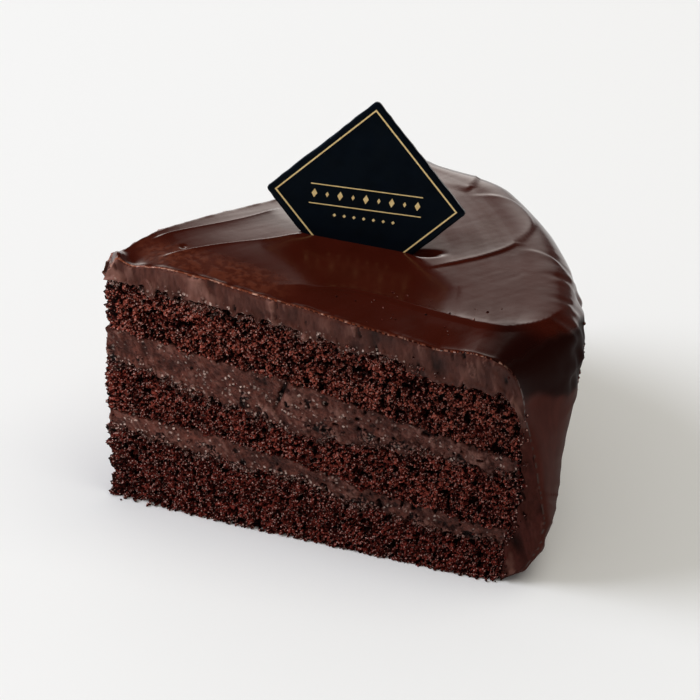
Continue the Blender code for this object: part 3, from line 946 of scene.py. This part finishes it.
def coat_piece(name, node, columns, rows, cut_rows, materials):
    """The ganache: outer skin, a band on each cut, and a plain inner face against the cake."""
    share = np.linspace(0, 1, columns + 1)[None, :]
    phi = HALF_ANGLE * (2 * share - 1)
    r_outer, z_outer, r_inner, z_inner = coat_lines(phi, *rows)
    outer = point(r_outer, phi, z_outer)
    inner = point(r_inner, phi, z_inner)
    aside = CUT_NORMALS[0] * (1 - share[..., None]) + CUT_NORMALS[1] * share[..., None]
    outer = outer + aside * (0.55 * np.exp(-((r_outer / 4.0) ** 2)))[..., None]
    outer[..., 0] += 1.4 * np.exp(-((r_outer / 2.4) ** 2)) * smooth((z_outer - 50) / 10)
    near, far = from_cuts(r_outer, phi)
    for normal, away in zip(CUT_NORMALS, (near, far)):
        turned = 1.1 * np.exp(-away / 0.9) * smooth((46 - z_outer) / 8)
        outer = outer - normal * turned[..., None]
    # Where the near cut's top edge gets its painted highlight line.
    edge = np.exp(-((near / 0.26) ** 2)) * smooth((z_outer - 45) / 6)
    edge = edge * (0.55 + 0.45 * smooth((70 - r_outer) / 30))
    # Where the top gets its painted light patch, near the near cut.
    painted_light = smooth((near - 0.6) / 1.5) * smooth((11 - near) / 5) * smooth((r_outer - 6) / 6)
    painted_light = painted_light * smooth((47 - r_outer) / 14)
    # Where the top's front right is painted dark as shade.
    lit = 1 - 0.85 * smooth((r_outer - 84) / 8) * smooth((18 - near) / 8)
    drift = 2.0 * wander(outer, 9.0, 350) + 0.8 * wander(outer, 2.5, 351)
    wiped = smooth((along(GLOSS_ENDS, phi) + drift - z_outer) / (2 + 7 * smooth((phi + 12) / 14)))
    # Below its line the wiped wall keeps its own colour; above it, and at the scallops, it is painted dark as
    # shade.
    pale = smooth((along(WALL_SHADE_LINE, phi) + drift - z_outer) / 2.5)
    pale = pale * (1 - 0.8 * np.exp(-(((phi + 12.3) / 1.7) ** 2)))
    wall = 1 - 0.4 * pale
    skin = sheet(outer, {"lit": lit, "painted_light": painted_light, "edge": edge, "wiped": wiped, "relief": 0.6, "wall": wall})
    sheets = [dress(skin, materials, 0)]
    w = np.linspace(0, 1, cut_rows + 1)[None, :, None]
    ends = []
    for side, column in enumerate((0, columns)):
        out, deep = outer[:, column][:, None], inner[:, column][:, None]
        r_deep, z_deep = r_inner[:, column][:, None], z_inner[:, column][:, None]
        drop = fringe(r_deep, phi[0, column], 320 + 10 * side)[..., None]
        steep = smooth((z_deep - 30) / 16)[..., None]
        down = np.array((0.0, 0.0, -1.0)) * drop * steep
        torn = 0.7 * wander(deep, 3.0, 325) + 0.5 * wander(deep, 1.1, 326)
        inwards = -point(1.0, phi[0, column], 0.0) * (torn[..., None] - 0.3) * (1 - steep)
        deep = deep + down + inwards
        places = out * (1 - w) + deep * w
        relief, shade = drag_relief(places, 330 + 10 * side)
        on_wall = smooth((46 - places[..., 2]) / 8) * smooth((places[..., 0] - 60) / 10)
        rounding = np.sqrt(np.clip(1 - (1 - np.minimum(w[..., 0] / 0.08, 1)) ** 2, 0, 1))
        closing = np.sqrt(np.clip(1 - np.clip((w[..., 0] - 0.86) / 0.14, 0, 1) ** 2, 0, 1))
        lump = 0.5 + 0.5 * wander(places, 1.3, 340 + side)
        roll = 0.75 * lump * np.exp(-(((w[..., 0] - 0.84) / 0.1) ** 2)) * (1 - 0.6 * on_wall)
        at_tip = 0.5 * np.exp(-((np.hypot(places[..., 0], places[..., 1]) / 4.5) ** 2))
        proud = (0.35 + relief + roll + at_tip) * rounding * closing - 0.5 * (1 - closing)
        # The band's tip is marked high, so the satin finish paints it lighter as a painted highlight.
        shade = np.clip(shade + at_tip * (1.0 + 0.8 * wander(places, 1.6, 347)), 0, 1)
        places = places + CUT_NORMALS[side] * proud[..., None]
        r_band = np.hypot(places[..., 0], places[..., 1])
        # Where the band's torn border gets painted glints and their painted shadows.
        glint_mask = smooth((w[..., 0] - 0.62) / 0.2) * (1 - on_wall) * smooth((88 - r_band) / 30)
        glint_mask = glint_mask * smooth((wander(places, 3.5, 345 + side) + 0.35) / 0.4)
        marks = {"relief": shade, "wall": 0.6 * on_wall, "tone": glint_mask}
        band = sheet(places, marks)
        sheets.append(dress(band, materials, np.where(face_middles(band)[:, 2] < 42, 2, 1)))
        ends.append(places[:, -1])
    plain = {"relief": 0.5, "wall": 0.6}
    steps = np.linspace(0, 1, 9)[None, :, None]
    pick = np.rint(np.linspace(0, columns, 9)).astype(int)
    flat = ends[0][:, None] * (1 - steps) + ends[1][:, None] * steps
    inside = np.minimum(1.0, 8 * np.minimum(steps, 1 - steps))
    sheets.append(dress(sheet(flat * (1 - inside) + inner[:, pick] * inside, plain), materials, 1))
    across_band = w[0]
    for row in (0, len(outer) - 1):
        lie = np.minimum(1.0, 12 * np.minimum(share, 1 - share))[0][:, None]
        straight = ends[0][row] * (1 - share[0][:, None]) + ends[1][row] * share[0][:, None]
        ring = (straight * (1 - lie) + inner[row] * lie)[:, None]
        closer = sheet(outer[row][:, None] * (1 - across_band) + ring * across_band, plain)
        sheets.append(dress(closer, materials, 1))
    piece = sew(name, sheets, materials)
    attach(piece, "root")
    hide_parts(node)
    return piece


# ---- the plaque ----------------------------------------------------------------------------


def plaque_place(roll):
    x, y, z = PLAQUE_CENTRE
    place = Matrix.Translation(Vector((x - BOX_MIDDLE, y, z)) * MM)
    turn = Matrix.Rotation(math.radians(PLAQUE_TURN), 4, "Z")
    lean = Matrix.Rotation(math.radians(PLAQUE_LEAN), 4, "X")
    return place @ turn @ lean @ Matrix.Rotation(math.radians(roll), 4, "Y")


def add_box(size, middle):
    """A box of the given size in mm, its faces along the plaque's own axes."""
    bpy.ops.mesh.primitive_cube_add(size=1.0)
    made = bpy.context.object
    made.scale = Vector(size) * MM
    made.location = Vector(middle) * MM
    bpy.ops.object.transform_apply(location=True, rotation=True, scale=True)
    return made


def join(name, parts):
    deselect()
    for part in parts:
        part.select_set(True)
    bpy.context.view_layer.objects.active = parts[0]
    if len(parts) > 1:
        bpy.ops.object.join()
    piece = bpy.context.object
    piece.name = name
    piece.data.name = name
    return piece


def set_in_place(piece, roll):
    piece.data.transform(plaque_place(roll))
    piece.data.update()
    deselect()


def make_plaque_tile(material):
    tile = add_box((PLAQUE_SIDE, PLAQUE_THICKNESS, PLAQUE_SIDE), (0, 0, 0))
    bpy.ops.object.mode_set(mode="EDIT")
    bpy.ops.mesh.select_all(action="SELECT")
    bpy.ops.mesh.subdivide(number_cuts=40)
    bpy.ops.object.mode_set(mode="OBJECT")
    mesh = tile.data
    flat = np.empty(len(mesh.vertices) * 3)
    mesh.vertices.foreach_get("co", flat)
    places = flat.reshape(-1, 3) / MM
    half, thick = PLAQUE_SIDE / 2, PLAQUE_THICKNESS / 2
    soft = PLAQUE_SOFT_EDGE
    reach_in = np.array((half - soft, thick - soft, half - soft))
    core = np.clip(places, -reach_in, reach_in)
    turn = half - PLAQUE_CORNER
    flat = places[:, [0, 2]]
    hub = np.clip(flat, -turn, turn)
    out = flat - hub
    long = np.maximum(np.linalg.norm(out, axis=1, keepdims=True), 1e-9)
    shrink = np.minimum(1.0, PLAQUE_CORNER / long)
    rounded = core[:, [0, 2]] + (hub + out * shrink - flat)
    core[:, [0, 2]] = np.where(long > PLAQUE_CORNER, rounded, core[:, [0, 2]])
    places[:, [0, 2]] = hub + out * shrink
    away = places - core
    length = np.maximum(np.linalg.norm(away, axis=1, keepdims=True), 1e-9)
    on_edge = np.abs(places[:, [0, 2]]).max(axis=1) > half - 1.2
    bumpy = 0.12 * wander(places, 1.6, 401) * on_edge
    places = core + away / length * (soft + bumpy[:, None]) * (length > 1e-6)
    mesh.vertices.foreach_set("co", (places * MM).ravel())
    # The rim is marked for a painted pale highlight line.
    rim = (places[:, [0, 2]].max(axis=1) > half - 0.05) & (np.abs(places[:, 1]) < thick - 0.3)
    rim = rim * (0.6 + 0.4 * wander(places, 2.5, 402))
    mesh.attributes.new("edge", "FLOAT", "POINT").data.foreach_set("value", rim)
    mesh.update()
    bpy.ops.object.shade_smooth()
    piece = join("plaque_tile", [tile])
    set_in_place(piece, 45 + PLAQUE_ROLL)
    piece.data.materials.append(material)
    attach(piece, "root")
    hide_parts("topper_plaque")
    return piece


def make_gold(material):
    """A thin border inside the tile's edge, and a band of lozenges between two rules."""
    front = -PLAQUE_THICKNESS / 2 - 0.02
    out = PLAQUE_SIDE / 2 - BORDER_INSET
    wide, thick = BORDER_WIDTH, GOLD_THICKNESS
    border = []
    for sign in (-1, 1):
        border.append(add_box((2 * out + wide, thick, wide), (0, front, sign * out)))
        border.append(add_box((wide, thick, 2 * out - wide), (sign * out, front, 0)))
    border = join("plaque_border", border)
    set_in_place(border, 45 + PLAQUE_ROLL)
    lozenges = []
    for step in range(-4, 5):
        tall = 2.0 if step % 2 == 0 else 1.2
        made = add_box((1.0, thick, 1.0), (0, 0, 0))
        made.data.transform(Matrix.Rotation(math.radians(45), 4, "Y"))
        made.data.transform(Matrix.Diagonal((0.9 * tall * 0.5, 1, tall * 0.72, 1)))
        made.data.transform(Matrix.Translation(Vector((2.9 * step, front, 0.2)) * MM))
        lozenges.append(made)
    for z in ORNAMENT_RULES:
        lozenges.append(add_box((2 * RULE_HALF_LENGTH, thick, RULE_WIDTH), (0, front, z)))
    for step in range(-3, 4):
        made = add_box((0.55, thick, 0.55), (0, 0, 0))
        made.data.transform(Matrix.Rotation(math.radians(45), 4, "Y"))
        made.data.transform(Matrix.Translation(Vector((2.2 * step, front, -4.2)) * MM))
        lozenges.append(made)
    ornament = join("plaque_ornament", lozenges)
    set_in_place(ornament, PLAQUE_ROLL)
    for piece in (border, ornament):
        piece.data.materials.append(material)
        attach(piece, "root")


# ---- loose crumbs --------------------------------------------------------------------------


def crumb_places(dice, count):
    """(place, size) of loose crumbs on both cuts, along the foot, the tip and the coat's side."""
    made = []
    for side, phi in enumerate((-HALF_ANGLE, HALF_ANGLE)):
        for _ in range(count):
            r = dice.uniform(1, 95)
            z = dice.uniform(0.5, 57)
            bands = [(level("ground", r, phi), level("lower_filling_base", r, phi))]
            bands.append((level("lower_filling_top", r, phi), level("upper_filling_base", r, phi)))
            bands.append((level("upper_filling_top", r, phi), level("cake_top", r, phi)))
            on_sponge = any(low < z < high for low, high in bands)
            if not on_sponge and dice.uniform() > 0.12:
                continue
            size = dice.uniform(0.16, 0.36)
            place = point(r, phi, z) + CUT_NORMALS[side] * dice.uniform(-0.3, 0.25)
            made.append((place, size))
        for _ in range(count // 6):
            r = dice.uniform(2, 93)
            size = dice.uniform(0.2, 0.5)
            off = dice.uniform(0.4, 1.6 if side == 0 else 0.9)
            made.append((point(r, phi, size * 0.8) + CUT_NORMALS[side] * off, size))
        for _ in range(count // 7):
            z = dice.uniform(1, 46)
            size = dice.uniform(0.25, 0.5)
            r = along(CAKE_WALL, z) - 0.6 + abs(dice.normal()) * 0.9
            made.append((point(r, phi, z) + CUT_NORMALS[side] * dice.uniform(0.0, 0.35), size))
    for _ in range(count // 12):
        z = dice.uniform(0.5, 45)
        made.append((np.array((dice.uniform(0.2, 1.2), dice.uniform(-0.5, 0.5), z)), dice.uniform(0.3, 0.6)))
    for _ in range(count // 26):
        z = 39.0 + dice.normal() * 5.0
        phi = -13.5 + dice.normal() * 1.2
        r = coat_wall(z, phi) + wall_relief(z, phi) - 0.15
        made.append((point(r, phi, z), dice.uniform(0.3, 0.6)))
    for _ in range(count // 28):
        r, phi = dice.uniform(52, 92), dice.uniform(-29, -17)
        size = dice.uniform(0.12, 0.24)
        made.append((point(r, phi, coat_base(r, phi) + coat_ridges(r, phi)), size))
    return made


def make_crumbs(name, count, material):
    bpy.ops.mesh.primitive_ico_sphere_add(subdivisions=2, radius=1.0)
    seed_crumb = bpy.context.object
    base = np.array([v.co[:] for v in seed_crumb.data.vertices])
    faces = np.array([p.vertices[:] for p in seed_crumb.data.polygons])
    dice = np.random.default_rng(7)
    places = crumb_places(dice, count)
    corners, shells = [], []
    for number, (place, size) in enumerate(places):
        shape = base * (1 + 0.5 * wander(base * 1.0 + number * 7.3, 0.9, 501)[:, None])
        shape = shape * dice.uniform(0.7, 1.25, 3)
        turn = np.array(Matrix.Rotation(dice.uniform(0, 6.28), 3, Vector(dice.normal(size=3)).normalized()))
        corners.append(shape @ turn.T * size + place)
        shells.append(faces + number * len(base))
    corners = (np.vstack(corners) - np.array((BOX_MIDDLE, 0, 0))) * MM
    corners[:, 2] = np.maximum(corners[:, 2], 0.0)
    mesh = bpy.data.meshes.new(name)
    mesh.from_pydata(corners.tolist(), [], np.vstack(shells).tolist())
    relief = mesh.attributes.new("relief", "FLOAT", "POINT")
    relief.data.foreach_set("value", np.full(len(corners), 0.62))
    tone = mesh.attributes.new("tone", "FLOAT", "POINT")
    tone.data.foreach_set("value", np.repeat(dice.uniform(0, 1, len(places)), len(base)))
    old = seed_crumb.data
    seed_crumb.data = mesh
    bpy.data.meshes.remove(old)
    seed_crumb.name = name
    bpy.ops.object.shade_smooth()
    mesh.materials.append(material)
    deselect()
    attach(seed_crumb, "root")
    return seed_crumb


# ---- settings ------------------------------------------------------------------------------


class CakeSizes(PropertyGroup):
    crumb: FloatProperty(
        name="Crumb size", description="Distance between the sponge's lumps", default=0.52 * MM,
        min=0.4 * MM, max=3 * MM, precision=5, unit="LENGTH",
    )
    detail: IntProperty(
        name="Detail", description="Columns of faces along a cut", default=500, min=40, max=520
    )
    crumbs: IntProperty(
        name="Loose crumbs", description="Loose crumbs tried on each cut", default=900, min=0, max=1000
    )


class CakeColours(PropertyGroup):
    backdrop: FloatVectorProperty(
        name="Floor", description="Colour of the floor", subtype="COLOR", size=3, default=(0.88, 0.88, 0.875)
    )


# ---- operators -----------------------------------------------------------------------------


# Each sponge: its base and top faces, its crumb's coarseness, how far painted shade darkens it towards the
# rim, and its pit, crumb and peak colours; the pits are painted near black as shade and the peaks lighter.
SPONGES = {
    "sponge_bottom": ("ground", "lower_filling_base", 0.95, 0.1, ("030100", "42100A", "8A3A30")),
    "sponge_middle": ("lower_filling_top", "upper_filling_base", 1.0, 0.25, ("020100", "4B120D", "A64E40")),
    "sponge_top": ("upper_filling_top", "cake_top", 1.1, 0.42, ("020100", "4E130E", "C26452")),
}
FILLINGS = {
    "filling_lower": ("lower_filling_base", "lower_filling_top"),
    "filling_upper": ("upper_filling_base", "upper_filling_top"),
}


class CAKE_OT_sponges(Operator):
    """Adds the three sponges with their torn crumb"""

    bl_idname = "cake.sponges"
    bl_label = "Sponges"

    def execute(self, context):
        sizes = context.scene.cake_sizes
        for number, (name, (base, top, coarse, fade, colours)) in enumerate(SPONGES.items()):
            material = finish_named(f"chocolate_sponge_{name[7:]}", sponge_finish, fade, *colours)
            piece = layer_piece(
                f"{name}_crumb", name, base, top, coarse * sizes.crumb / MM, 100 * (number + 1),
                sizes.detail, int(sizes.detail * 0.18), 4, material,
            )
        return {"FINISHED"}


class CAKE_OT_fillings(Operator):
    """Adds the two bands of chocolate cream between the sponges"""

    bl_idname = "cake.fillings"
    bl_label = "Fillings"

    def execute(self, context):
        sizes = context.scene.cake_sizes
        material = finish_named("chocolate_buttercream", filling_finish, "703E33", "4C261E", 1.0)
        for number, (name, (base, top)) in enumerate(FILLINGS.items()):
            piece = layer_piece(
                f"{name}_cream", name, base, top, 1.0, 600 + 60 * number,
                sizes.detail, int(sizes.detail * 0.09), 8, material,
            )
        return {"FINISHED"}


class CAKE_OT_coat(Operator):
    """Adds the ganache coat with its spatula ridges"""

    bl_idname = "cake.coat"
    bl_label = "Ganache coat"

    def execute(self, context):
        detail = context.scene.cake_sizes.detail / 500
        # The gloss: its colour, the painted light patch, the painted highlight line, the wiped wall's colour
        # and its painted shade. The satins: colour, wall colour, a painted shade colour, specular level and
        # painted glint strength.
        gloss = finish_named(
            "chocolate_ganache", ganache_finish, "340E06", "552719", "8A4A34", "5A2D26", "1A0503"
        )
        cut = finish_named("chocolate_ganache_cut", satin_finish, "62372D", "522720", "1A0503", 0.12, 1.0)
        wiped = finish_named("chocolate_ganache_wiped", satin_finish, "5E352B", "572B25", "1A0503", 0.03, 0.0)
        rows = (int(70 * detail), int(30 * detail), int(300 * detail))
        piece = coat_piece("frosting_coat", "frosting", int(175 * detail), rows, 22, [gloss, cut, wiped])
        return {"FINISHED"}


class CAKE_OT_plaque(Operator):
    """Adds the black chocolate plaque with its gold border and ornament"""

    bl_idname = "cake.plaque"
    bl_label = "Plaque"

    def execute(self, context):
        tile = make_plaque_tile(finish_named("black_chocolate", plaque_finish, "06090E"))
        make_gold(finish_named("gold_ink", gold_finish, "E8C684"))
        return {"FINISHED"}


class CAKE_OT_crumbs(Operator):
    """Adds loose crumbs on the cuts and round the foot"""

    bl_idname = "cake.crumbs"
    bl_label = "Loose crumbs"

    def execute(self, context):
        material = finish_named("chocolate_sponge_loose", sponge_finish, 0.2, "0A0302", "4A1D16", "7A4036")
        make_crumbs("loose_crumbs", context.scene.cake_sizes.crumbs, material)
        return {"FINISHED"}


class CAKE_OT_stage(Operator):
    """Adds the floor, the soft light and the camera"""

    bl_idname = "cake.stage"
    bl_label = "Stage"

    def execute(self, context):
        scene = context.scene
        bpy.ops.mesh.primitive_plane_add(size=6.0)
        floor = context.object
        floor.name = "floor"
        material, _, shader, _ = new_material("matt_paper")
        shader.inputs["Base Color"].default_value = (*scene.cake_colours.backdrop, 1.0)
        shader.inputs["Roughness"].default_value = 1.0
        shader.inputs["Specular IOR Level"].default_value = 0.0
        floor.data.materials.append(material)
        deselect()
        make_world(scene)
        add_lamp(scene, "key", 163.0, 42.0, 1.7, 58.5, (0.88, 0.91, 1.0))
        fill = add_lamp(scene, "overhead", -20.0, 70.0, 2.4, 33.0, (1.0, 0.97, 0.87))
        fill.visible_glossy = False
        camera = bpy.data.objects.new("camera", bpy.data.cameras.new("camera"))
        camera.data.lens = CAMERA_LENS
        camera.data.sensor_width = 36.0
        camera.data.clip_end = 20.0
        camera.location = CAMERA_PLACE
        aim = Vector(CAMERA_TARGET) - Vector(CAMERA_PLACE)
        camera.rotation_euler = aim.to_track_quat("-Z", "Y").to_euler()
        scene.collection.objects.link(camera)
        scene.camera = camera
        scene.view_settings.view_transform = "Standard"
        return {"FINISHED"}


def make_world(scene):
    """A bright band above the horizon, as of a pale room, under a dark ceiling."""
    world = bpy.data.worlds.new("studio")
    scene.world = world
    world.use_nodes = True
    tree = world.node_tree
    tree.nodes.clear()
    coords = add_node(tree, "ShaderNodeTexCoord").outputs["Generated"]
    sides = add_node(tree, "ShaderNodeSeparateXYZ", {0: coords}).outputs
    low, middle, high = (math.sin(math.radians(angle)) for angle in (16, 29, 44))
    band = reach(tree, sides["Z"], middle, high, 0.57, 0.012)
    glow = reach(tree, sides["Z"], low, middle, 1.8, 0.0)
    light = add_node(tree, "ShaderNodeMath", {0: band, 1: glow}, operation="ADD").outputs[0]
    light = times(tree, light, reach(tree, sides["Y"], -0.2, 0.5, 0.012, 1.0))
    light = times(tree, light, reach(tree, sides["X"], 0.26, 0.5, 1.0, 0.05))
    diffuse = add_node(tree, "ShaderNodeLightPath").outputs["Is Diffuse Ray"]
    soft = reach(tree, sides["X"], -0.6, 0.6, 0.38, 0.27)
    light = add_node(tree, "ShaderNodeMix", {0: diffuse, 2: light, 3: soft}).outputs[0]
    wall = add_node(tree, "ShaderNodeBackground", {"Color": (1.0, 0.98, 0.95, 1.0), "Strength": light})
    add_node(tree, "ShaderNodeOutputWorld", {"Surface": wall.outputs[0]})


def add_lamp(scene, name, bearing, height, size, energy, colour):
    """A soft round lamp three metres off, aimed at the slice."""
    lamp = bpy.data.objects.new(name, bpy.data.lights.new(name, "AREA"))
    lamp.data.shape = "DISK"
    lamp.data.size = size
    lamp.data.energy = energy
    lamp.data.color = colour
    bearing, height = math.radians(bearing), math.radians(height)
    flat = math.cos(height)
    lamp.location = Vector((flat * math.cos(bearing), flat * math.sin(bearing), math.sin(height))) * 3.0
    lamp.rotation_euler = (-lamp.location).to_track_quat("-Z", "Y").to_euler()
    scene.collection.objects.link(lamp)
    return lamp


class CAKE_PT_panel(Panel):
    """Lists the slice's settings and the operators that build it"""

    bl_label = "Chocolate cake slice"
    bl_idname = "CAKE_PT_panel"
    bl_space_type = "VIEW_3D"
    bl_region_type = "UI"
    bl_category = "Cake"

    def draw(self, context):
        for group in (context.scene.cake_sizes, context.scene.cake_colours):
            for name in group.__annotations__:
                self.layout.prop(group, name)
        for operator in OPERATORS:
            self.layout.operator(operator.bl_idname)


OPERATORS = (
    CAKE_OT_sponges,
    CAKE_OT_fillings,
    CAKE_OT_coat,
    CAKE_OT_plaque,
    CAKE_OT_crumbs,
    CAKE_OT_stage,
)
CLASSES = (CakeSizes, CakeColours, *OPERATORS, CAKE_PT_panel)


def register():
    for item in CLASSES:
        bpy.utils.register_class(item)
    bpy.types.Scene.cake_sizes = PointerProperty(type=CakeSizes)
    bpy.types.Scene.cake_colours = PointerProperty(type=CakeColours)


def unregister():
    del bpy.types.Scene.cake_colours
    del bpy.types.Scene.cake_sizes
    for item in reversed(CLASSES):
        bpy.utils.unregister_class(item)


def main():
    register()
    deselect()
    for operator in OPERATORS:
        getattr(bpy.ops.cake, operator.bl_idname.split(".")[1])()


if __name__ == "__main__":
    main()
